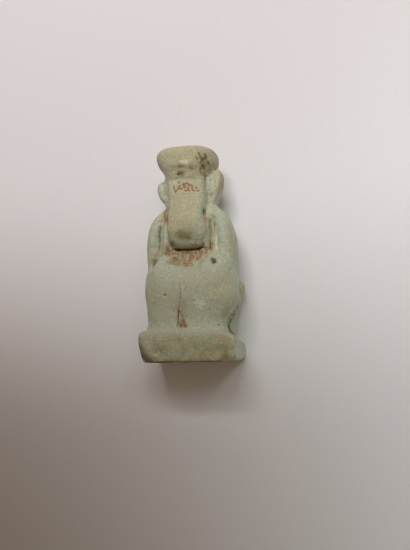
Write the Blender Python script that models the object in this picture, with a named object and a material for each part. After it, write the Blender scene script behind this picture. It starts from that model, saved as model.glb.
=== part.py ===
"""A pierced faience amulet of a hippopotamus goddess: an upright figure in a tall flaring
headdress, with a long drooping muzzle, standing on a small plinth against a back pillar.

It lies on its back, as a loose amulet does: X runs across the figure, Y from the foot of
the plinth to the headdress, and Z up out of its front. Shapes are worked out in
millimetres, and the finished mesh is scaled to metres at the end.
"""

import math

import bmesh
import bpy
import numpy as np
from mathutils import Matrix, Vector

MM = 0.001

# Driving sizes in millimetres. The figure's height sets the scale of all the others.
HEIGHT = 35.2
PLINTH_WIDTH = 15.4
PLINTH_HEIGHT = 5.3
PLINTH_DEPTH = 12.7
MUZZLE_LENGTH = 9.6
CORD_HOLE_RADIUS = 0.8
CORD_HOLE_PLACE = (25.8, 2.3)

# Working grain of the modelling, in millimetres.
FUSE_VOXEL = 0.2
BLEND_PASSES = 7
TRIANGLES = 9000
RING_POINTS = 56
RINGS_PER_MM = 2.5


def clear_scene():
    for obj in list(bpy.data.objects):
        bpy.data.objects.remove(obj)


def glide(heights, values, at):
    """Values read along a smooth curve through the stations, with no overshoot."""
    step = np.diff(heights)
    slope = np.diff(values) / step
    tangent = np.zeros(len(values))
    inner = slope[:-1] * slope[1:] > 0
    tangent[1:-1][inner] = 2 * slope[:-1][inner] * slope[1:][inner] / (slope[:-1] + slope[1:])[inner]
    tangent[0], tangent[-1] = slope[0], slope[-1]
    place = np.clip(np.searchsorted(heights, at, side="right") - 1, 0, len(step) - 1)
    t = (at - heights[place]) / step[place]
    rise = step[place]
    return (
        (2 * t**3 - 3 * t**2 + 1) * values[place]
        + (t**3 - 2 * t**2 + t) * rise * tangent[place]
        + (3 * t**2 - 2 * t**3) * values[place + 1]
        + (t**3 - t**2) * rise * tangent[place + 1]
    )


def add_loft(form, stations, axis="Y"):
    """A closed form through cross-sections stacked along the Y axis, or the X axis.

    Each station is (place, low side, high side, back, front, squareness): squareness 2 is
    an ellipse, and higher numbers are nearer to a rectangle.
    """
    table = np.array(stations, float)
    places = table[:, 0]
    count = max(6, round((places[-1] - places[0]) * RINGS_PER_MM))
    turn = np.linspace(0, 2 * math.pi, RING_POINTS, endpoint=False)
    rings = []
    for place in np.linspace(places[0], places[-1], count):
        low, high, back, front, square = (glide(places, table[:, k], place) for k in range(1, 6))
        power = 2 / square
        across = np.sign(np.cos(turn)) * np.abs(np.cos(turn)) ** power
        deep = np.sign(np.sin(turn)) * np.abs(np.sin(turn)) ** power
        sides = (low + high) / 2 + across * (high - low) / 2
        heights = (back + front) / 2 + deep * (front - back) / 2
        if axis == "Y":
            rings.append([form.verts.new((side, place, z)) for side, z in zip(sides, heights)])
        else:
            rings.append([form.verts.new((place, side, z)) for side, z in zip(sides, heights)])
    faces = [form.faces.new(rings[0]), form.faces.new(rings[-1][::-1])]
    for lower, upper in zip(rings, rings[1:]):
        for k in range(RING_POINTS):
            n = (k + 1) % RING_POINTS
            faces.append(form.faces.new((lower[k], upper[k], upper[n], lower[n])))
    bmesh.ops.recalc_face_normals(form, faces=faces)


def add_ball(form, centre, radii):
    place = Matrix.Translation(centre) @ Matrix.Diagonal((*radii, 1))
    bmesh.ops.create_uvsphere(form, u_segments=32, v_segments=20, radius=1, matrix=place)


def cut_off(form, first, second, third):
    """Cuts a closed form along the plane through three places, and drops the smaller side."""
    first, second, third = Vector(first), Vector(second), Vector(third)
    normal = (second - first).cross(third - first)
    middle = sum((vert.co for vert in form.verts), Vector()) / len(form.verts)
    if (middle - first).dot(normal) > 0:
        normal = -normal
    everything = form.verts[:] + form.edges[:] + form.faces[:]
    cut = bmesh.ops.bisect_plane(form, geom=everything, plane_co=first, plane_no=normal, clear_outer=True)
    rim = [part for part in cut["geom_cut"] if isinstance(part, bmesh.types.BMEdge)]
    bmesh.ops.holes_fill(form, edges=rim, sides=0)


def add_plinth(form):
    """The block under the feet, bowed in front, with a corner knocked off and a sloping top."""
    half = PLINTH_WIDTH / 2
    top, front = PLINTH_HEIGHT, PLINTH_DEPTH
    block = (
        (-half, 0.1, top - 0.5, -1.5, front - 0.6, 7.0),
        (-half + 0.35, -0.1, top - 0.35, -1.5, front - 0.3, 8.0),
        (-half + 1.4, -0.3, top - 0.15, -1.5, front - 0.1, 8.0),
        (-half + 3.4, -0.4, top, -1.5, front, 9.0),
        (0.5, -0.4, top, -1.5, front, 9.0),
        (half - 3.2, -0.4, top - 0.1, -1.5, front, 9.0),
        (half - 1.1, -0.3, top - 0.4, -1.5, front - 0.1, 8.0),
        (half - 0.3, -0.1, top - 0.6, -1.5, front - 0.3, 8.0),
        (half, 0.1, top - 0.8, -1.5, front - 0.6, 7.0),
    )
    plinth = bmesh.new()
    add_loft(plinth, block, axis="X")
    cut_off(plinth, (-half + 0.2, 3.0, front - 0.5), (-4.2, 0.2, front + 0.1), (-half, 0.0, 9.6))
    cut_off(plinth, (4.6, top - 0.1, front), (half, top - 1.2, front - 0.2), (half, top - 2.6, 0.5))
    mesh = bpy.data.meshes.new("plinth")
    plinth.to_mesh(mesh)
    plinth.free()
    form.from_mesh(mesh)


def add_body(form):
    """Legs and belly, the tail and rump behind them, the torso, and the arms and breasts."""
    legs = (
        (2.5, -7.1, 6.2, 3.8, 12.4, 3.2),
        (5.2, -7.0, 5.9, 4.0, 12.3, 3.0),
        (6.1, -6.75, 5.7, 4.2, 12.0, 2.9),
        (7.8, -6.85, 6.7, 4.2, 12.1, 2.9),
        (9.1, -7.0, 7.6, 4.0, 12.4, 2.8),
        (10.4, -7.2, 8.0, 3.8, 12.7, 2.7),
        (12.2, -7.35, 8.0, 3.4, 12.8, 2.5),
        (13.6, -7.35, 7.8, 2.8, 12.4, 2.5),
        (14.7, -7.2, 7.5, 2.5, 11.5, 2.4),
        (16.0, -6.6, 7.0, 2.3, 9.8, 2.2),
    )
    rump = (
        (2.0, -6.3, 6.3, 0.3, 4.6, 3.5),
        (4.7, -6.3, 6.35, 0.3, 4.7, 3.2),
        (6.7, -6.5, 6.6, 0.3, 4.9, 3.0),
        (8.4, -6.9, 7.2, 0.3, 5.2, 2.8),
        (10.4, -7.1, 7.6, 0.4, 5.6, 2.6),
        (13.0, -7.2, 7.6, 0.6, 5.8, 2.5),
        (15.0, -6.6, 6.8, 0.9, 6.0, 2.4),
    )
    torso = (
        (12.0, -6.6, 6.8, 0.8, 10.0, 2.4),
        (16.0, -6.6, 6.8, 0.9, 10.3, 2.4),
        (20.0, -6.3, 6.4, 0.9, 10.1, 2.4),
        (22.7, -5.2, 5.4, 1.0, 9.4, 2.3),
        (24.9, -3.9, 4.0, 1.1, 8.4, 2.2),
        (26.2, -3.0, 3.0, 1.3, 7.4, 2.0),
    )
    left_arm = (
        (12.6, -7.2, -5.0, 3.6, 6.6, 2.2),
        (14.3, -7.5, -4.7, 3.0, 8.2, 2.3),
        (17.1, -7.5, -4.6, 2.8, 8.9, 2.3),
        (19.4, -7.4, -4.4, 2.6, 9.3, 2.3),
        (21.4, -7.1, -4.0, 2.6, 9.5, 2.3),
        (23.1, -6.5, -3.4, 2.6, 9.2, 2.3),
        (24.3, -5.6, -2.8, 3.0, 8.6, 2.2),
        (25.1, -4.7, -2.6, 3.8, 7.6, 2.0),
    )
    right_arm = (
        (12.1, 5.2, 7.6, 3.2, 7.0, 2.2),
        (13.4, 4.8, 7.8, 3.0, 8.2, 2.3),
        (16.8, 4.5, 7.75, 2.8, 9.6, 2.3),
        (20.2, 4.2, 7.5, 2.6, 10.0, 2.3),
        (22.6, 3.6, 6.85, 2.6, 9.9, 2.3),
        (23.8, 3.0, 6.3, 2.8, 9.6, 2.2),
        (24.8, 2.6, 5.3, 3.2, 8.8, 2.2),
        (25.6, 2.4, 4.3, 3.8, 7.8, 2.0),
    )
    left_breast = (
        (9.5, -5.0, -0.8, 8.0, 11.4, 2.4),
        (12.0, -6.1, -0.5, 7.5, 12.5, 2.2),
        (13.8, -6.3, -0.3, 7.0, 12.3, 2.2),
        (15.1, -5.8, -0.9, 7.0, 11.8, 2.2),
        (16.2, -5.0, -1.7, 7.0, 11.2, 2.2),
        (16.9, -4.3, -2.6, 7.5, 10.5, 2.2),
    )
    right_breast = (
        (9.8, 1.3, 5.4, 8.0, 11.6, 2.4),
        (12.2, 1.0, 6.8, 7.5, 12.65, 2.2),
        (14.1, 1.0, 7.2, 7.0, 12.45, 2.2),
        (15.4, 1.9, 7.1, 7.0, 12.05, 2.2),
        (16.5, 2.8, 6.5, 7.0, 11.5, 2.2),
        (17.2, 3.7, 5.7, 7.5, 10.8, 2.2),
    )
    for stations in (legs, rump, torso, left_arm, right_arm, left_breast, right_breast):
        add_loft(form, stations)
    for side in (-1, 1):
        add_ball(form, (7.3 * side, 11.8, 2.9), (1.05, 1.45, 1.3))


def add_head(form):
    """Wig and neck, the long drooping muzzle with its flat bridge, and the wig's two lappets."""
    wig = (
        (21.7, -4.4, 4.0, 0.4, 7.8, 2.6),
        (24.7, -4.55, 3.8, 0.5, 8.5, 2.6),
        (26.2, -4.4, 3.7, 0.6, 9.0, 2.6),
        (27.7, -3.9, 3.7, 0.7, 9.3, 2.6),
        (29.6, -3.8, 3.4, 1.1, 9.6, 2.6),
        (31.0, -3.6, 3.1, 1.6, 9.4, 2.6),
    )
    tip = 27.6 - MUZZLE_LENGTH
    muzzle = (
        (tip, -1.1, 2.2, 8.0, 10.9, 2.4),
        (tip + 0.3, -2.0, 3.0, 7.8, 11.3, 2.6),
        (tip + 1.1, -2.6, 3.5, 7.4, 12.0, 2.7),
        (tip + 2.2, -2.85, 3.6, 7.0, 12.7, 2.9),
        (tip + 3.2, -2.95, 3.5, 6.7, 12.9, 3.0),
        (tip + 4.4, -3.0, 3.3, 6.4, 12.6, 3.0),
        (tip + 7.0, -3.1, 3.1, 6.0, 11.5, 3.0),
        (tip + 9.2, -3.3, 3.1, 5.5, 10.5, 2.9),
        (tip + 10.6, -3.5, 3.1, 5.0, 10.1, 2.8),
        (tip + 12.4, -3.6, 3.1, 5.0, 9.9, 2.6),
    )
    bridge = (
        (tip + 2.3, -0.9, 2.4, 9.0, 12.4, 2.6),
        (tip + 3.1, -1.3, 2.8, 9.0, 13.1, 3.0),
        (tip + 4.2, -1.5, 2.9, 9.0, 13.05, 3.4),
        (tip + 6.2, -1.9, 2.9, 9.0, 12.0, 3.2),
        (tip + 8.3, -2.1, 2.8, 8.0, 10.9, 2.8),
        (tip + 9.0, -2.1, 2.6, 7.0, 10.3, 2.6),
    )
    left_lappet = (
        (16.6, -3.9, -3.1, 8.0, 9.9, 2.2),
        (17.6, -4.0, -2.9, 8.0, 10.6, 2.3),
        (19.5, -4.0, -2.8, 7.5, 10.7, 2.4),
        (23.0, -3.9, -2.6, 6.5, 9.8, 2.4),
        (25.4, -3.7, -2.4, 6.0, 8.8, 2.4),
    )
    right_lappet = (
        (17.0, 3.2, 3.9, 8.0, 10.0, 2.2),
        (18.0, 3.1, 4.1, 8.0, 10.7, 2.3),
        (19.8, 3.0, 4.1, 7.5, 10.8, 2.4),
        (23.0, 2.8, 4.0, 6.5, 9.9, 2.4),
        (25.4, 2.4, 3.6, 6.0, 8.8, 2.4),
    )
    for stations in (wig, muzzle, bridge, left_lappet, right_lappet):
        add_loft(form, stations)


def add_ears(form):
    """Ears cupped forwards. The one on the right is larger and higher, and runs down the wig."""
    left_ear = (
        (26.4, -4.5, -3.2, 5.4, 7.2, 2.0),
        (27.2, -5.15, -3.2, 4.8, 7.9, 2.1),
        (28.6, -5.6, -3.2, 4.6, 8.3, 2.2),
        (29.5, -5.5, -3.4, 4.9, 8.1, 2.1),
        (30.2, -4.9, -3.7, 5.4, 7.5, 2.0),
    )
    right_ear = (
        (25.0, 3.0, 4.1, 4.8, 7.4, 2.0),
        (26.6, 2.8, 4.75, 4.2, 8.2, 2.1),
        (28.0, 2.7, 5.3, 3.8, 8.6, 2.2),
        (29.6, 2.8, 5.7, 3.6, 8.7, 2.2),
        (30.7, 3.0, 5.65, 3.8, 8.5, 2.1),
        (31.5, 3.5, 5.15, 4.4, 7.8, 2.0),
        (31.9, 3.9, 4.7, 5.0, 7.0, 2.0),
    )
    for stations in (left_ear, right_ear):
        add_loft(form, stations)


def add_headdress(form):
    """The flaring modius on the crown of the head, with a rounded rim and a low domed top."""
    top = HEIGHT
    headdress = (
        (top - 6.8, -3.5, 3.0, 2.8, 9.6, 2.6),
        (top - 5.6, -3.8, 3.1, 2.6, 10.2, 2.5),
        (top - 4.4, -4.1, 3.7, 2.3, 10.7, 2.4),
        (top - 3.4, -4.65, 4.35, 1.8, 11.2, 2.4),
        (top - 2.4, -5.25, 4.8, 1.4, 11.3, 2.5),
        (top - 1.4, -5.5, 4.85, 1.3, 11.4, 2.5),
        (top - 0.6, -5.3, 4.5, 1.6, 11.1, 2.6),
        (top - 0.2, -4.7, 3.9, 2.3, 10.4, 2.6),
        (top, -3.3, 2.8, 3.8, 8.8, 2.4),
    )
    add_loft(form, headdress)


def add_back_pillar(form):
    """The flat pillar behind the figure, from the plinth to the wig, that carries the cord hole."""
    pillar = (
        (0.5, -3.2, 3.2, -0.6, 4.0, 6.0),
        (16.0, -3.0, 3.0, -0.6, 4.0, 6.0),
        (28.0, -2.7, 2.6, -0.6, 4.0, 5.0),
        (30.2, -2.3, 2.2, -0.2, 4.0, 4.0),
    )
    add_loft(form, pillar)


def block_out():
    """All the forms of the figure in one mesh, still overlapping."""
    form = bmesh.new()
    add_plinth(form)
    add_body(form)
    add_head(form)
    add_ears(form)
    add_headdress(form)
    add_back_pillar(form)
    mesh = bpy.data.meshes.new("block_out")
    form.to_mesh(mesh)
    form.free()
    return mesh


def worked(mesh, *settings):
    """The mesh as a stack of modifiers leaves it. Each setting is (type, {property: value})."""
    helper = bpy.data.objects.new("helper", mesh)
    bpy.context.scene.collection.objects.link(helper)
    for kind, values in settings:
        modifier = helper.modifiers.new(kind.title(), kind)
        for name, value in values.items():
            setattr(modifier, name, value)
    bpy.context.view_layer.update()
    graph = bpy.context.evaluated_depsgraph_get()
    made = bpy.data.meshes.new_from_object(helper.evaluated_get(graph))
    bpy.data.objects.remove(helper)
    return made


def distance_to(points, path):
    """Each point's distance, seen from the front, to a path of (x, y), and how far along it lies."""
    flat = points[:, :2]
    path = np.array(path, float)
    lengths = np.linalg.norm(np.diff(path, axis=0), axis=1)
    along_start = np.concatenate([[0], np.cumsum(lengths)])
    best = np.full(len(points), np.inf)
    along = np.zeros(len(points))
    for k, (a, b) in enumerate(zip(path, path[1:])):
        t = np.clip(((flat - a) @ (b - a)) / lengths[k] ** 2, 0, 1)
        gap = np.linalg.norm(flat - a - t[:, None] * (b - a), axis=1)
        nearer = gap < best
        best[nearer] = gap[nearer]
        along[nearer] = (along_start[k] + t * lengths[k])[nearer]
    return best, along / along_start[-1]


def carve(points, facing, path, widths, depths, above=6.0):
    """Presses a groove into the front along a path, from its first width and depth to its last."""
    gap, along = distance_to(points, path)
    width = widths[0] + (widths[1] - widths[0]) * along
    depth = depths[0] + (depths[1] - depths[0]) * along
    front = np.clip((points[:, 2] - above) / 1.0, 0, 1) * np.clip(facing[:, 2] * 3 + 0.6, 0, 1)
    points[:, 2] -= front * depth * np.exp(-((gap / width) ** 2))


def vertex_places(mesh):
    places = np.empty(len(mesh.vertices) * 3)
    mesh.vertices.foreach_get("co", places)
    return places.reshape(-1, 3)


def carve_front(mesh):
    """The cut lines that part legs, arms and lappets, and the hollows of the ears."""
    points = vertex_places(mesh)
    facing = np.empty(len(mesh.vertices) * 3)
    mesh.vertex_normals.foreach_get("vector", facing)
    facing = facing.reshape(-1, 3)
    between_legs = ((-0.5, 11.2), (-0.7, 9.4), (-0.7, 8.0), (-0.45, 6.3))
    carve(points, facing, between_legs, (0.3, 0.75), (0.1, 1.4))
    left_arm_line = ((-4.5, 22.6), (-4.7, 20.2), (-5.1, 18.2), (-6.0, 15.2))
    carve(points, facing, left_arm_line, (0.45, 0.5), (0.45, 0.7))
    right_arm_line = ((4.3, 22.8), (4.1, 20.2), (4.0, 17.6))
    carve(points, facing, right_arm_line, (0.4, 0.4), (0.4, 0.6))
    right_arm_panel = ((5.2, 21.6), (5.3, 18.6))
    carve(points, facing, right_arm_panel, (0.9, 0.9), (0.5, 0.5))
    left_ear = ((-4.5, 29.4), (-4.3, 27.5))
    carve(points, facing, left_ear, (0.45, 0.4), (0.8, 0.6))
    right_ear = ((4.3, 30.6), (3.8, 27.2))
    carve(points, facing, right_ear, (0.8, 0.55), (0.9, 0.6))
    mesh.vertices.foreach_set("co", points.ravel())
    mesh.update()


def cord_hole_cutter():
    """A round bar across the figure behind the neck, for the cord hole."""
    height, depth = CORD_HOLE_PLACE
    form = bmesh.new()
    place = Matrix.Translation((0, height, depth)) @ Matrix.Rotation(math.pi / 2, 4, "Y")
    bmesh.ops.create_cone(
        form, cap_ends=True, segments=20, radius1=CORD_HOLE_RADIUS, radius2=CORD_HOLE_RADIUS,
        depth=2 * PLINTH_WIDTH, matrix=place,
    )
    return helper_from("cord_hole_cutter", form)


def resting_block():
    """A block whose lower faces cut the back and the underside of the plinth flat."""
    form = bmesh.new()
    size = 4 * HEIGHT
    bmesh.ops.create_cube(form, size=size, matrix=Matrix.Translation((0, size / 2, size / 2)))
    return helper_from("resting_block", form)


def helper_from(name, form):
    mesh = bpy.data.meshes.new(name)
    form.to_mesh(mesh)
    form.free()
    obj = bpy.data.objects.new(name, mesh)
    obj.hide_render = True
    obj.display_type = "WIRE"
    bpy.context.scene.collection.objects.link(obj)
    return obj


def faience():
    """Pale blue-green glazed composition, mostly matt from wear."""
    material = bpy.data.materials.new("worn_faience")
    material.use_nodes = True
    shader = material.node_tree.nodes["Principled BSDF"]
    shader.inputs["Base Color"].default_value = (0.33, 0.37, 0.26, 1)
    shader.inputs["Roughness"].default_value = 0.75
    shader.inputs["Metallic"].default_value = 0.0
    return material


def sculpt_amulet():
    """Fuses the forms, carves the front, thins the mesh, and cuts the hole and the flat faces."""
    fused = worked(
        block_out(),
        ("REMESH", {"mode": "VOXEL", "voxel_size": FUSE_VOXEL}),
        ("SMOOTH", {"factor": 0.5, "iterations": BLEND_PASSES}),
    )
    carve_front(fused)
    faces = sum(len(face.vertices) - 2 for face in fused.polygons)
    hole, block = cord_hole_cutter(), resting_block()
    cut = worked(
        fused,
        ("DECIMATE", {"ratio": TRIANGLES / faces}),
        ("BOOLEAN", {"operation": "DIFFERENCE", "object": hole}),
        ("BOOLEAN", {"operation": "INTERSECT", "object": block}),
    )
    for helper in (hole, block):
        bpy.data.objects.remove(helper)
    return cut


def place_on_origin(mesh):
    """Scales to metres, with the origin under the middle of the lying amulet."""
    places = np.array([vertex.co for vertex in mesh.vertices])
    low, high = places.min(0), places.max(0)
    middle = Vector(((low[0] + high[0]) / 2, (low[1] + high[1]) / 2, low[2]))
    mesh.transform(Matrix.Scale(MM, 4) @ Matrix.Translation(-middle))


def main():
    clear_scene()
    mesh = sculpt_amulet()
    place_on_origin(mesh)
    mesh.materials.clear()
    mesh.materials.append(faience())
    mesh.shade_smooth()
    mesh.set_sharp_from_angle(angle=math.radians(50))
    mesh.name = "deity_amulet"
    amulet = bpy.data.objects.new("deity_amulet", mesh)
    bpy.context.scene.collection.objects.link(amulet)


main()
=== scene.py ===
"""A worn faience amulet of a hippopotamus-headed goddess, lying on its back on pale paper.

Places on the figure are in millimetres, as a modeller holds it: x across the figure, y up
from the underside of the plinth, and z out of its front.
"""

import math

import bpy
import numpy as np
from mathutils import Matrix, Vector, noise


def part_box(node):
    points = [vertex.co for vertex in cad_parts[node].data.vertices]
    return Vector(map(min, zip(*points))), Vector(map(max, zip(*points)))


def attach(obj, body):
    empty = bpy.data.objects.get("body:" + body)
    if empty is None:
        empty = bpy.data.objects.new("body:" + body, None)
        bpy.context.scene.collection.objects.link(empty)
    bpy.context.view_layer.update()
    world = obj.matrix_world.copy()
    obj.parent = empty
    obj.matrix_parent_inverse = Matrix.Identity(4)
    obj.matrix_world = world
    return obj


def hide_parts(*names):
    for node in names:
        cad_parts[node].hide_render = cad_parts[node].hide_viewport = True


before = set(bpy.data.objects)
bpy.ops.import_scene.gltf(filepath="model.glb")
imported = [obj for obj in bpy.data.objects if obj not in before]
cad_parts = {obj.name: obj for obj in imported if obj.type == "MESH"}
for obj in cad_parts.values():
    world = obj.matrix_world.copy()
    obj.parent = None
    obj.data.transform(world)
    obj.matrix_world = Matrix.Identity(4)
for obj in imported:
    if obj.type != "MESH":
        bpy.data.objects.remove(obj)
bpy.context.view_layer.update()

# The blank. One piece of faience: crushed quartz and lime, wetted, pressed in an open mould
# and trimmed with a blade while damp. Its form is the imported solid's, remade here on an even
# fine grain, so that the tool marks and the wear can be worked into it.
MM = 0.001
# In millimetres, the finest that keeps the piece under 200,000 triangles.
GRAIN = 0.162
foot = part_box("deity_amulet")[0][1]
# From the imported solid's metres to millimetres up from the foot.
in_hand = Matrix.Scale(1 / MM, 4) @ Matrix.Translation((0, -foot, 0))

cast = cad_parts["deity_amulet"].data.copy()
cast.materials.clear()
cast.transform(in_hand)
blank = bpy.data.objects.new("blank", cast)
bpy.context.scene.collection.objects.link(blank)
remesh = blank.modifiers.new("Even grain", "REMESH")
remesh.mode = "VOXEL"
remesh.voxel_size = GRAIN
settle = blank.modifiers.new("Settle", "SMOOTH")
settle.factor = 0.5
settle.iterations = 6
bpy.context.view_layer.update()
body = bpy.data.meshes.new_from_object(blank.evaluated_get(bpy.context.evaluated_depsgraph_get()))
bpy.data.objects.remove(blank)


def values_of(collection, name):
    """A three-part value of every vertex or normal, as rows."""
    values = np.empty(len(collection) * 3)
    collection.foreach_get(name, values)
    return values.reshape(-1, 3)


places = values_of(body.vertices, "co")
facing = values_of(body.vertex_normals, "vector")
lowest, highest = places.min(axis=0), places.max(axis=0)
ends = np.empty(len(body.edges) * 2, int)
body.edges.foreach_get("vertices", ends)
first, second = ends[::2], ends[1::2]
neighbours = np.bincount(ends, minlength=len(places))


def rise(values, low, high):
    """0 below low, 1 above high, and a soft step between them."""
    t = np.clip((values - low) / (high - low), 0, 1)
    return t * t * (3 - 2 * t)


def eased(values, passes):
    """Rows of values on the skin, moved step by step towards their neighbours' mean."""
    columns = values.T.copy()
    for _ in range(passes):
        for column in columns:
            total = np.bincount(first, column[second], len(column))
            total += np.bincount(second, column[first], len(column))
            column += 0.5 * (total / neighbours - column)
    return columns.T


def lumps(size, seed):
    """Soft unevenness with features of this size, from -1 to 1."""
    shift = Vector((seed, 2 * seed, 3 * seed))
    return np.array([noise.noise(Vector(place) / size + shift) for place in places])


def distance(path):
    """How far each place is from a path, and which share of the path it has passed there.

    A path of (x, y) is seen from the front, and one of (x, y, z) runs in space.
    """
    path = np.array(path, float)
    spots = places[:, : path.shape[1]]
    best, passed = np.full(len(places), np.inf), np.zeros(len(places))
    spans = np.linalg.norm(np.diff(path, axis=0), axis=1)
    starts = np.cumsum(spans) - spans
    for start, span, a, b in zip(starts, spans, path, path[1:]):
        t = np.clip(((spots - a) @ (b - a)) / span**2, 0, 1)
        gap = np.linalg.norm(spots - a - t[:, None] * (b - a), axis=1)
        closer = gap < best
        best[closer] = gap[closer]
        passed[closer] = (start + t * span)[closer]
    return best, passed / spans.sum()


def from_front(depths):
    """Depths of marks from the front: kept on the front half, where the skin isn't turned away."""
    return depths * rise(places[:, 2], 6.0, 7.0) * rise(facing[:, 2], -0.1, 0.4)


def press(path, width, depth, end_width=None, end_depth=None):
    """A mark along a path, from its first width and depth to its last. Below 0 it stands up."""
    gap, passed = distance(path)
    wide = width + passed * ((end_width or width) - width)
    deep = depth + passed * ((depth if end_depth is None else end_depth) - depth)
    mark = deep * np.exp(-((gap / wide) ** 2))
    if len(path[0]) == 2:
        places[:, 2] -= from_front(mark)
    else:
        places[:] -= facing * mark[:, None]


# The headdress and forehead. The modius has a soft ridge below its rim and is scuffed at
# the neck; a row of quick cuts, now full of earth, crosses the brow above the flat bridge.
press([(-2.2, 31.0), (0.6, 30.8), (2.6, 30.7)], 0.7, 0.12)
press([(-0.5, 31.95), (0.25, 31.9)], 0.35, -0.12)
press([(1.05, 32.05), (1.35, 31.8)], 0.3, -0.1)
press([(-3.2, 29.55), (0.0, 29.5), (2.7, 29.4)], 0.3, 0.12)
brow_cuts = (
    [(-1.96, 28.4), (-1.85, 27.85), (-1.6, 27.3)], [(-1.6, 27.3), (-1.15, 28.0), (-0.95, 28.45)],
    [(-1.3, 28.9), (-1.1, 29.05), (-0.95, 28.9)], [(-1.05, 28.15), (-0.75, 27.8), (-0.4, 27.75)],
    [(-0.5, 28.55), (-0.3, 28.7), (-0.15, 28.1), (0.0, 28.0)],
    [(0.0, 27.5), (0.2, 27.3), (0.45, 27.85)], [(0.6, 28.1), (0.5, 27.5), (0.85, 27.3)],
    [(0.75, 28.45), (1.15, 28.2), (1.15, 27.6), (1.5, 27.3)],
    [(-0.15, 28.6), (0.35, 28.75), (0.6, 28.4)],
    [(1.75, 27.95), (1.85, 27.75)], [(1.9, 27.35), (2.2, 27.35)],
)
for cut in brow_cuts:
    press(cut, 0.15, 0.14)
press([(-1.4, 27.05), (1.2, 26.85)], 0.14, 0.1)

# The ears: cupped leaves of paste, thumbed in and parted from the cheeks with the blade.
press([(2.95, 30.3), (2.95, 28.8), (3.0, 27.0), (3.1, 25.4)], 0.25, 0.14)
press([(3.7, 31.0), (4.3, 29.9), (4.4, 28.6), (4.0, 27.2)], 0.5, 0.18)
press([(4.55, 31.8), (4.5, 31.1)], 0.3, 0.35)
press([(5.1, 30.6), (5.3, 29.4), (5.0, 28.0)], 0.45, -0.08)

# The muzzle: a long block with a flat bridge and bevelled cheeks. Its end is thumbed hollow,
# and a deep cut below the chin frees it from the chest. A slot is punched beside the cheek.
press([(-0.8, 19.9), (1.2, 19.8)], 0.75, 0.15)
press([(2.4, 26.5), (2.4, 22.0)], 0.7, 0.3)
press([(-2.6, 26.5), (-2.6, 22.0)], 0.5, 0.2)
press([(-2.2, 18.0), (-1.4, 17.9)], 0.2, 0.05, 0.26, 0.4)
press([(-1.4, 17.9), (0.4, 17.75), (2.0, 17.9)], 0.26, 0.5)
press([(2.0, 17.9), (2.9, 18.1)], 0.26, 0.4, 0.2, 0.0)
press([(3.02, 24.25), (3.08, 23.35)], 0.28, 0.6)

# Arms, lappets and breasts. Each arm is parted from the wig's lappet by one drawn cut, the
# left one ending in a punched hole, and the breasts are two pads with a hole in the right one.
left_arm_cut = [(-4.5, 22.3), (-4.76, 20.3), (-4.97, 18.3), (-5.46, 17.2)]
press(left_arm_cut, 0.5, -0.35, 0.5, -0.4)
press(left_arm_cut, 0.2, 0.12)
press([(-5.85, 16.3), (-6.05, 15.6)], 0.26, 0.4)
right_arm_cut = [(3.95, 22.5), (3.97, 20.8), (3.9, 19.2), (3.8, 17.9)]
press(right_arm_cut, 0.14, 0.16)
press([(5.2, 21.6), (5.3, 18.6)], 0.9, -0.35)
press([(4.87, 21.3), (4.81, 19.6), (4.77, 17.8)], 0.16, 0.08)
press([(4.4, 22.85), (5.25, 22.5)], 0.2, 0.2)
press([(3.3, 17.4), (2.66, 16.1), (2.1, 14.6)], 0.3, 0.15)
press([(-4.6, 16.9), (-2.6, 16.4), (-1.2, 15.4)], 0.3, 0.1)

# The legs, parted by a drawn cut that opens towards the feet, with a thin ridge beside it, and
# at their right the knob's and the tail's lines. The knocked-off plinth corner is left full.
press([(-0.6, 9.4), (-0.7, 8.0), (-0.35, 6.0)], 0.4, -0.15, 0.8, -0.9)
press([(-0.45, 10.5), (-0.6, 9.8), (-1.1, 7.8), (-1.2, 5.7)], 0.15, 0.06, 0.17, 0.15)
press([(-0.05, 11.5), (-0.15, 10.2)], 0.22, -0.14)
press([(-6.2, 2.6), (-5.9, 1.6), (-5.0, 0.7)], 0.5, -0.45)
knob_line = [(7.62, 13.0, 3.8), (7.5, 12.0, 4.2), (7.55, 11.0, 4.0)]
tail_line = [(6.6, 8.0, 4.0), (6.2, 7.4, 4.1), (5.4, 5.6, 4.2)]
press(knob_line, 0.3, 0.25)
press(tail_line, 0.35, -0.15)

# Small pits, where grit fell out of the paste: those that show, each as (x, y, radius, depth)
# with the three dark ones first, and 260 finer ones strewn over the whole skin.
pits = [
    (4.72, 15.45, 0.5, 0.9), (-3.75, 1.83, 0.11, 0.25), (4.49, 31.6, 0.16, 0.35),
    (-3.01, 10.46, 0.26, 0.3), (6.2, 14.66, 0.1, 0.1), (-1.78, 8.0, 0.18, 0.15),
    (5.06, 5.68, 0.22, 0.15), (-0.85, 31.37, 0.13, 0.12), (-0.18, 31.3, 0.12, 0.12),
    (1.43, 30.73, 0.13, 0.12), (1.06, 29.7, 0.1, 0.1), (1.66, 30.16, 0.1, 0.1),
    (4.45, 15.75, 0.3, 0.4),
]
for x, y, radius, depth in pits:
    gap = np.hypot(places[:, 0] - x, places[:, 1] - y)
    places[:, 2] -= from_front(depth * np.exp(-((gap / radius) ** 2)))
dice = np.random.default_rng(7)
for start in places[dice.integers(0, len(places), 260)]:
    radius = dice.uniform(0.1, 0.24)
    gap = np.linalg.norm(places - start, axis=1)
    places -= facing * (radius * 0.4 * np.exp(-((gap / radius) ** 2)))[:, None]

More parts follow.
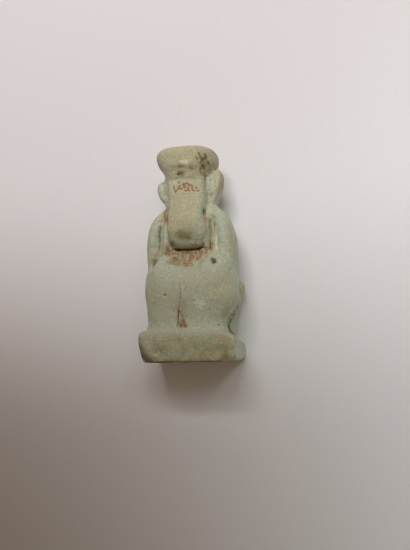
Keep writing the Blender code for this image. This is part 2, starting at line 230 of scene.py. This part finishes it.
# Wear and the uneven skin. Long handling has rounded every edge, most on the plinth, and has
# run the breasts' lower sides into the belly. The skin waves by up to a tenth of a millimetre.
standing_out = ((places - eased(places, 40)) * facing).sum(axis=1)
rubbed = rise(standing_out, 0.06, 0.2)[:, None]
places += rubbed * (eased(places, 14) - places)
merged = 0.8 * np.maximum(
    np.exp(-(((places[:, 0] + 5.0) / 3.0) ** 2) - ((places[:, 1] - 13.5) / 2.2) ** 2),
    np.exp(-(((places[:, 0] - 5.5) / 3.0) ** 2) - ((places[:, 1] - 13.3) / 2.4) ** 2),
) * rise(places[:, 2], 6.0, 7.5)
places += merged[:, None] * (eased(places, 60) - places)
waves = 0.07 * lumps(2.6, 1.0) + 0.045 * lumps(1.0, 7.0) + 0.025 * lumps(0.45, 3.0)
places += facing * waves[:, None]
places = np.clip(places, lowest, highest)

# What the surface carries, as shares of about 0 to 1: how deep a place lies or stands out,
# earth in the hollows, rust-red earth packed in the cuts, brown dirt and painted shade on faces
# turned from the light, dark grime and painted shade in the deep cuts, olive stain, soot, paste
# worn bare, and pale glaze with painted highlights.
coarse = ((eased(places, 70) - places) * facing).sum(axis=1)
small = ((eased(places, 10) - places) * facing).sum(axis=1)
hollow = np.clip(coarse / 0.5 + small / 0.12, 0, 1)
edge = np.clip(-coarse / 0.5 - small / 0.15, 0, 1)
front = rise(facing[:, 2], -0.1, 0.3) * rise(places[:, 2], 5.5, 7.0)


def along(path, reach, share=1.0):
    """A share that fades away from a path. A path of (x, y) marks the front only."""
    mark = share * np.exp(-((distance(path)[0] / reach) ** 2))
    return mark * front if len(path[0]) == 2 else mark


def patch(x, y, wide, tall, share=1.0):
    """A share that fades away from one place on the front."""
    off = ((places[:, 0] - x) / wide) ** 2 + ((places[:, 1] - y) / tall) ** 2
    return share * front * np.exp(-off)


# Skin that faces straight forward, and skin that lies deeper than the muzzle's underside.
flat_front = rise(facing[:, 2], 0.6, 0.9)
under_chin = 1 - rise(places[:, 2], 11.4, 12.2)

earth = np.maximum.reduce(
    [
        patch(-0.1, 28.1, 2.8, 1.1, 0.75),
        along([(-3.0, 17.4), (0.0, 17.2), (3.0, 17.5)], 1.1, 0.95) * under_chin,
        along([(-1.9, 16.5), (0.2, 16.3), (2.0, 16.6)], 1.1, 0.95) * under_chin,
        along([(0.1, 16.0), (0.1, 15.3)], 1.0, 0.85) * under_chin,
        along([(-2.3, 16.1), (-1.0, 15.7), (0.8, 15.6)], 0.7, 0.85) * under_chin,
        along([(4.4, 22.0), (4.45, 20.0), (4.4, 17.6)], 0.6, 0.64),
        along([(4.0, 18.8), (3.9, 17.8)], 0.5, 0.85),
        patch(3.0, 18.5, 0.4, 0.4, 0.9),
        patch(3.4, 22.6, 0.8, 1.1, 0.75),
        along([(-3.8, 25.0), (-3.6, 23.9), (-3.2, 22.6)], 1.1, 0.95),
        patch(-3.0, 22.0, 0.3, 0.3, 1.0),
        along([(-3.6, 22.0), (-3.6, 18.5)], 0.4, 0.55),
        along([(-3.2, 18.6), (-3.0, 17.4)], 0.7, 0.85),
        along([(-4.8, 18.3), (-5.4, 17.3), (-5.7, 16.6)], 0.5, 0.65),
        along([(-0.8, 8.0), (-0.5, 7.0), (-0.3, 6.0)], 0.6, 0.85),
        patch(-0.25, 5.8, 1.1, 0.8, 1.0),
        patch(6.0, 3.4, 2.0, 1.0, 0.6),
        along([(7.9, 13.0, 3.5), (8.2, 11.75, 3.5), (7.9, 10.6, 3.5)], 0.8, 0.5),
    ]
).clip(0, 1)
rust = np.maximum.reduce(
    [along(cut, 0.22, 1.1) for cut in brow_cuts]
    + [
        along(right_arm_cut, 0.12, 0.85),
        along([(4.5, 22.0), (4.5, 17.8)], 0.5, 0.7),
        along([(-3.4, 24.6), (-3.2, 22.4)], 0.5, 0.72),
        along([(5.55, 5.6, 4.2), (5.65, 5.1, 4.05), (6.0, 4.5, 3.7), (6.3, 4.2, 3.0)], 0.28, 1.05),
        along([(-1.05, 8.2), (-1.2, 5.6)], 0.22, 1.0),
        along([(-0.95, 6.3), (-0.6, 5.5), (-0.1, 5.9), (0.25, 5.35)], 0.24, 1.0),
        along([(-3.3, 23.6), (-3.0, 22.6)], 0.25, 0.9),
        along([(-1.5, 17.2), (-1.9, 16.3)], 0.2, 0.9) * under_chin,
        along([(-0.5, 17.3), (-0.5, 16.7)], 0.2, 1.0) * under_chin,
        along([(1.0, 17.3), (0.9, 16.8)], 0.2, 0.9) * under_chin,
        along([(-0.9, 16.5), (-1.2, 15.9)], 0.2, 0.9) * under_chin,
        along([(2.5, 17.3), (1.7, 16.2)], 0.2, 0.8) * under_chin,
        along([(-0.6, 15.6), (0.8, 15.5)], 0.2, 0.9) * under_chin,
        along([(3.4, 22.9), (3.3, 22.0)], 0.15, 0.85),
        patch(-2.8, 17.9, 0.5, 0.4, 0.9),
        along([(-2.0, 17.6), (0.0, 17.4), (2.2, 17.6)], 0.25, 0.9) * under_chin,
        along([(-2.2, 18.2), (-1.2, 17.8)], 0.3, 0.95),
        patch(-0.75, 5.7, 0.3, 0.3, 1.0),
        patch(0.32, 5.65, 0.5, 0.35, 0.92),
        along([(-0.75, 6.8), (-0.6, 5.7)], 0.28, 0.76),
    ]
)
# Brown dirt, and painted shade: the same dark coat lies on faces turned away from the light, the
# knocked-off plinth corner, the muzzle's bevelled cheeks and its lower left corner, and the rims of
# both ears.
dirt_and_painted_shade = np.maximum.reduce(
    [
        along([(-7.9, 3.0), (-7.1, 1.2), (-5.6, 0.1)], 0.9, 0.9)
        * (1 - rise(facing[:, 2], 0.8, 0.95)),
        along([(-7.7, 2.6), (-7.2, 1.0), (-6.2, 0.3)], 0.5, 1.0),
        along([(-5.6, 0.1), (0.0, 0.0), (6.0, 0.0)], 0.35, 0.9),
        along(left_arm_cut, 0.35, 0.75),
        along(tail_line, 0.55, 0.64),
        along([(7.9, 13.0, 3.5), (8.2, 11.75, 3.5), (7.9, 10.6, 3.5)], 0.9, 0.55),
        patch(-2.6, 19.8, 0.8, 1.4, 0.5),
        patch(3.0, 32.3, 1.4, 1.6, 0.7),
        patch(-0.5, 30.4, 1.3, 0.7, 0.8),
        along([(-1.5, 29.75), (2.0, 29.6)], 0.2, 0.6),
        patch(-2.4, 18.7, 0.7, 0.8, 1.0),
        along([(2.4, 26.5), (2.4, 21.0)], 0.6, 0.5),
        along([(5.6, 30.6, 6.6), (5.65, 29.8, 6.3), (5.5, 28.8, 6.4)], 0.6, 0.6),
        along([(-2.6, 26.5), (-2.6, 20.5)], 0.4, 0.6),
        along([(-5.3, 29.6, 7.3), (-5.4, 28.5, 7.4), (-5.35, 27.6, 7.0)], 0.45, 0.75),
        along([(7.6, 4.2, 10.5), (7.7, 2.6, 11.3), (7.7, 0.8, 11.5)], 1.9, 0.58),
    ]
)
# Dark grime in the cuts, holes and pits, and painted shade: the darkest lines, most of all the cut
# under the chin and the knocked-off plinth corner, stand for the shade that falls in them.
grime_and_painted_shade = np.maximum.reduce(
    [
        along([(-2.3, 18.0), (-1.4, 17.9), (0.4, 17.75), (2.0, 17.9), (2.8, 18.05)], 0.34, 1.15),
        along([(3.0, 24.3), (3.0, 23.8), (3.08, 23.3)], 0.32, 1.05),
        along([(-5.85, 16.3), (-6.05, 15.6)], 0.32, 1.0),
        along([(2.95, 30.3), (2.95, 28.8)], 0.25, 0.7),
        along([(-0.5, 10.3), (-1.1, 7.8), (-1.2, 5.6)], 0.16, 0.95),
        along([(-7.5, 1.6), (-7.0, 0.5), (-6.0, 0.1)], 0.5, 0.85),
        along([(-5.6, 0.0), (0.0, -0.1), (5.0, -0.1)], 0.35, 1.1),
        along(knob_line, 0.3, 0.95),
        along([(7.2, 8.9, 3.6), (6.6, 7.9, 3.9), (6.0, 6.8, 4.1), (5.5, 5.7, 4.2)], 0.24, 1.2),
    ]
    + [patch(x, y, radius * 1.4, radius * 1.4, 1.15) for x, y, radius, _ in pits[:3]]
    + [patch(x, y, radius * 1.7, radius * 1.7) for x, y, radius, _ in pits[3:]]
)
stain = np.maximum.reduce(
    [
        patch(0.2, 19.7, 2.0, 1.2, 1.08),
        patch(0.7, 19.4, 0.9, 0.6, 1.3),
        along([(-2.8, 15.8), (-1.0, 15.3), (1.2, 15.1)], 0.4, 1.0),
        patch(-2.0, 18.7, 1.0, 0.8, 0.9),
        along([(-1.7, 27.0), (1.6, 26.85)], 0.2, 0.8),
        patch(-0.6, 30.3, 1.4, 0.9, 0.85),
        patch(3.0, 32.2, 1.6, 1.8, 0.6),
        along([(-4.7, 21.3), (-4.65, 18.6)], 0.4, 0.9),
        patch(3.85, 29.6, 0.35, 0.5, 0.85),
        patch(3.9, 27.2, 0.5, 0.9, 0.95),
        along([(2.95, 30.4), (2.97, 29.4)], 0.3, 0.9),
        along([(3.0, 29.0), (3.1, 25.4)], 0.3, 0.5),
        patch(2.0, 17.2, 1.5, 0.5, 0.5),
        0.66 * flat_front * (1 - rise(places[:, 1], 3.4, 4.6)),
        patch(-4.0, 2.2, 3.4, 2.6, 0.78) * flat_front,
        patch(-0.7, 31.3, 0.9, 0.4, 1.0),
        patch(1.2, 31.0, 0.5, 0.6, 0.9),
        patch(6.3, 0.8, 1.5, 0.9, 1.2) * flat_front,
        patch(6.0, 2.3, 2.2, 2.4, 0.95) * flat_front,
    ]
)
scorches = (
    [(1.97, 32.72), (2.26, 32.4)], [(2.4, 33.45), (2.7, 33.15)], [(2.7, 32.95), (2.9, 32.4)],
    [(3.27, 33.3), (3.47, 32.95)], [(3.45, 33.35), (3.62, 32.85)], [(3.42, 32.6), (3.7, 32.3)],
    [(3.7, 32.2), (3.85, 31.9)], [(2.98, 32.55), (3.13, 32.25)], [(3.05, 31.75), (3.05, 31.45)],
    [(2.75, 31.55), (3.0, 31.1)], [(2.6, 31.1), (2.45, 30.6)],
)
soot = np.maximum.reduce(
    [along(mark, 0.34, 1.03) for mark in scorches]
    + [
        patch(3.0, 32.3, 1.3, 1.5, 0.93),
        patch(-0.95, 30.35, 0.65, 0.4, 1.15),
        patch(-0.4, 30.45, 0.4, 0.25, 1.1),
        patch(1.0, 31.2, 0.5, 0.3, 0.85),
    ]
)
bridge = rise(places[:, 0], -2.3, -1.8) * (1 - rise(places[:, 0], 1.4, 2.2))
bridge *= rise(places[:, 1], 20.6, 21.4) * (1 - rise(places[:, 1], 26.8, 27.2)) * front
ears = rise(np.abs(places[:, 0]), 3.4, 4.0) * (1 - rise(places[:, 1], 31.0, 31.8))
bare = np.maximum.reduce(
    [
        rise(places[:, 1], 29.2, 30.4) * (1 - ears) * (1 - patch(-3.4, 32.6, 1.8, 2.0, 0.5)),
        patch(0.9, 28.6, 2.6, 1.8, 1.2),
        0.95 * bridge,
        patch(-0.1, 24.0, 3.5, 6.0, 0.75),
        0.6 * flat_front * (1 - rise(places[:, 1], 3.9, 4.8)),
        patch(0.0, 11.5, 9.0, 4.5, 0.48),
        patch(4.5, 11.5, 3.6, 3.2, 0.7),
        patch(-4.8, 11.0, 3.4, 2.6, 0.6),
        patch(0.0, 7.5, 8.0, 2.5, 0.45),
        along([(7.2, 21.5), (7.6, 16.5)], 0.8, 0.55),
        along([(-6.8, 21.5), (-7.2, 16.5)], 0.8, 0.5),
        along([(5.3, 30.7, 7.4), (5.4, 29.8, 7.0), (5.2, 28.8, 7.3)], 1.0, 1.25),
        1 - rise(places[:, 2], 0.05, 0.3),
        1 - rise(places[:, 1], 0.05, 0.3),
    ]
)
# Pale glaze left on the paste, and painted highlights: the same pale coat paints the glints of
# light on the modius rim and the knee, and the bright line on the ridge between the legs.
glaze_and_painted_highlight = np.maximum.reduce(
    [
        patch(0.3, 31.9, 1.6, 0.6),
        patch(2.5, 9.0, 1.8, 1.8, 0.9),
        patch(2.0, 28.9, 1.0, 0.9, 0.75),
        patch(-3.3, 32.2, 1.2, 1.3, 0.68),
        along([(4.8, 21.4), (4.75, 18.0)], 0.4),
        along([(-0.05, 11.5), (-0.15, 10.0)], 0.2, 0.9),
    ]
)

body.vertices.foreach_set("co", places.ravel())
shares = {
    "hollow": hollow, "edge": edge, "bare": bare, "stain": stain,
    "dirt_and_painted_shade": dirt_and_painted_shade, "grime_and_painted_shade": grime_and_painted_shade, "earth": earth, "rust": rust, "soot": soot, "glaze_and_painted_highlight": glaze_and_painted_highlight,
}
for name, values in shares.items():
    body.attributes.new(name, "FLOAT", "POINT").data.foreach_set("value", values.astype(np.float32))
body.transform(in_hand.inverted())
body.shade_smooth()
amulet = bpy.data.objects.new("faience_amulet", body)
bpy.context.scene.collection.objects.link(amulet)


def linear(code):
    """A hex sRGB colour as Blender's linear values."""
    parts = [int(code[k : k + 2], 16) / 255 for k in (1, 3, 5)]
    parts = [c / 12.92 if c <= 0.04045 else ((c + 0.055) / 1.055) ** 2.4 for c in parts]
    return (*parts, 1.0)


def add(tree, kind, settings, inputs, out=0):
    """Adds one node, sets it, links it, and gives the output that the next node takes.

    Sockets go by name, or by number where Blender gives several the same name.
    """
    node = tree.nodes.new("ShaderNode" + kind)
    for name, value in settings.items():
        setattr(node, name, value)
    for name, value in inputs.items():
        if isinstance(value, bpy.types.NodeSocket):
            tree.links.new(value, node.inputs[name])
        else:
            node.inputs[name].default_value = value
    return node.outputs[out]


# Self-glazed Egyptian faience, worn. The salts of the paste came to its surface as it dried
# and melted there, copper-coloured, into a thin pale blue-green glaze. Worn through, it is a
# sandy buff. To the eye: mat and finely granular, with dull gloss only where glaze is left.
faience = bpy.data.materials.new("worn_self_glazed_faience")
faience.use_nodes = True
tree = faience.node_tree
surface = tree.nodes["Principled BSDF"]
# Output 3 is the object's own coordinates, in metres.
at = add(tree, "TexCoord", {}, {}, out=3)
stretched = add(tree, "VectorMath", {"operation": "MULTIPLY"}, {0: at, 1: (1.0, 0.4, 1.0)})
mask = {name: add(tree, "Attribute", {"attribute_name": name}, {}, out=2) for name in shares}
soft = {"interpolation_type": "SMOOTHSTEP"}
times_plus = {"operation": "MULTIPLY_ADD"}
mixed = {"data_type": "RGBA"}


def cloud(vector, size, detail, roughness=0.5):
    """Noise whose features are this many millimetres across."""
    sockets = {"Vector": vector, "Scale": 1 / (size * MM), "Detail": detail}
    return add(tree, "TexNoise", {}, {**sockets, "Roughness": roughness})


# The glaze ran thick and thin over 3.5 mm and wears in blotches of about a millimetre. Quartz
# grit is about 0.1 mm; it is drawn at 0.3 mm, or the picture would not show it. Dirt clings in
# specks of 0.5 mm, and wet earth dried in streaks down the figure, 0.4 mm wide.
drift = cloud(at, 3.5, 3.0)
blotch = cloud(at, 1.1, 4.0, 0.6)
grit = cloud(at, 0.3, 2.0, 0.6)
speck = cloud(at, 0.5, 3.0, 0.65)
streak = cloud(stretched, 0.4, 2.0)

worn = add(tree, "Math", times_plus, {0: mask["edge"], 1: 0.5, 2: mask["bare"]})
worn = add(tree, "Math", times_plus, {0: blotch, 1: 0.9, 2: worn})
thick = add(tree, "MapRange", soft, {0: drift, 1: 0.35, 2: 0.65})
colour = add(tree, "Mix", mixed, {0: thick, 6: linear("#b2c3a8"), 7: linear("#c4cdb4")}, out=2)
# Each coat lies over the last: where it is, the pattern that breaks it up, their sums at which
# it starts and is whole, how much it hides at most, and its colour.
coats = (
    (worn, drift, 0.65, 1.45, 1.0, "#b3b69c"),
    (worn, drift, 1.35, 2.05, 1.0, "#bcb58d"),
    (mask["bare"], blotch, 1.05, 1.45, 0.6, "#aca689"),
    (0.0, speck, 0.56, 0.68, 0.3, "#ccd0b8"),
    (0.0, grit, 0.56, 0.68, 0.6, "#7d7c5e"),
    (mask["hollow"], blotch, 0.9, 1.5, 0.4, "#979475"),
    (mask["stain"], blotch, 0.9, 1.7, 0.8, "#77713b"),
    # Brown dirt, with painted shade on faces turned from the light.
    (mask["dirt_and_painted_shade"], blotch, 0.9, 1.4, 0.85, "#7a6a52"),
    (mask["earth"], blotch, 0.8, 1.25, 0.75, "#b9a57e"),
    (mask["earth"], speck, 1.15, 1.45, 0.9, "#8a704d"),
    (mask["earth"], streak, 1.44, 1.58, 0.75, "#c9b88c"),
    (mask["earth"], speck, 1.46, 1.6, 0.75, "#6b5230"),
    (mask["rust"], speck, 1.1, 1.5, 0.85, "#775835"),
    # Dark grime, with painted shade in the deep cuts.
    (mask["grime_and_painted_shade"], speck, 1.15, 1.6, 0.9, "#46371b"),
    (mask["soot"], speck, 1.2, 1.6, 0.9, "#503e1b"),
    # Pale glaze, with painted highlights.
    (mask["glaze_and_painted_highlight"], grit, 1.15, 1.45, 0.75, "#d9dabf"),
)
for where, pattern, low, high, most, code in coats:
    cover = add(tree, "Math", {"operation": "ADD"}, {0: where, 1: pattern})
    cover = add(tree, "MapRange", soft, {0: cover, 1: low, 2: high, 4: most})
    colour = add(tree, "Mix", mixed, {0: cover, 6: colour, 7: linear(code)}, out=2)
# Grains stand up a little and catch the light, and the pores between them are darker.
uneven = add(tree, "Math", times_plus, {0: speck, 1: 0.8, 2: grit})
uneven = add(tree, "Math", times_plus, {0: blotch, 1: 0.2, 2: uneven})
shade = add(tree, "MapRange", {}, {0: uneven, 1: 0.65, 2: 1.35, 3: 0.88, 4: 1.3})
shaded = {**mixed, "blend_type": "MULTIPLY"}
colour = add(tree, "Mix", shaded, {0: 1.0, 6: colour, 7: shade}, out=2)
tree.links.new(colour, surface.inputs["Base Color"])
surface.inputs["IOR"].default_value = 1.5
dull = add(tree, "MapRange", {}, {0: worn, 1: 0.35, 2: 1.35, 3: 0.5, 4: 0.8})
dull = add(tree, "Math", times_plus, {0: mask["glaze_and_painted_highlight"], 1: -0.2, 2: dull})
tree.links.new(dull, surface.inputs["Roughness"])
bump = add(tree, "Bump", {}, {"Height": uneven, "Strength": 0.8, "Distance": 0.2 * MM})
tree.links.new(bump, surface.inputs["Normal"])

body.materials.append(faience)
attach(amulet, "root")
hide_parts("deity_amulet")

# The sheet of white paper under it: uncoated, mat, a shade warm, and wide enough for any view.
half = 600 * MM
sheet = bpy.data.meshes.new("paper")
corners = [(-half, -half, 0), (half, -half, 0), (half, half, 0), (-half, half, 0)]
sheet.from_pydata(corners, [], [(0, 1, 2, 3)])
paper = bpy.data.objects.new("paper", sheet)
bpy.context.scene.collection.objects.link(paper)
uncoated = bpy.data.materials.new("uncoated_white_paper")
uncoated.use_nodes = True
fibres = uncoated.node_tree.nodes["Principled BSDF"]
fibres.inputs["Base Color"].default_value = linear("#e7e5e4")
fibres.inputs["Roughness"].default_value = 0.9
sheet.materials.append(uncoated)


def shine(name, watts, radius, code, start, towards, cone, blend):
    """A spot lamp at a place in millimetres, turned towards another, with its cone in degrees."""
    light = bpy.data.lights.new(name, "SPOT")
    light.energy = watts
    light.shadow_soft_size = radius
    light.color = linear(code)[:3]
    light.spot_size = math.radians(cone)
    light.spot_blend = blend
    lamp = bpy.data.objects.new(name, light)
    bpy.context.scene.collection.objects.link(lamp)
    lamp.location = Vector(start) * MM
    lamp.rotation_euler = (Vector(towards) * MM - lamp.location).to_track_quat("-Z", "Y").to_euler()


# Soft light from nine lamps in three rows beyond the head, each aimed farther out still, so
# that it dies away towards the feet. A broad fill lights the right side, and the room is dim
# and warm.
for across in (-41, 3, 47):
    for y, z, aim in ((142, 228, (41, 232, 0)), (122, 239, (20, 266, 0)), (102, 249, (-1, 288, 0))):
        shine("window", 0.219, 0.02, "#fbfaff", (across, y, z), aim, 121.2, 0.05)
shine("fill", 3.95, 0.085, "#f1faff", (167, 60, 183), (116, -41, 0), 40.6, 1.0)
room = bpy.data.worlds.new("room")
bpy.context.scene.world = room
room.use_nodes = True
ambient = room.node_tree.nodes["Background"]
ambient.inputs["Color"].default_value = (1.0, 0.78, 0.6, 1.0)
ambient.inputs["Strength"].default_value = 0.2

# The camera: held about ten centimetres above the figure, towards its feet and its left side.
camera = bpy.data.objects.new("camera", bpy.data.cameras.new("camera"))
bpy.context.scene.collection.objects.link(camera)
camera.location = Vector((22.23, 2.02 + foot / MM, 102.38)) * MM
camera.rotation_mode = "ZXY"
camera.rotation_euler = (math.radians(7.0), math.radians(11.8), math.radians(-1.3))
camera.data.sensor_width = 36
camera.data.lens = 39.3
camera.data.clip_start = 5 * MM
bpy.context.scene.camera = camera
bpy.context.scene.view_settings.view_transform = "Standard"
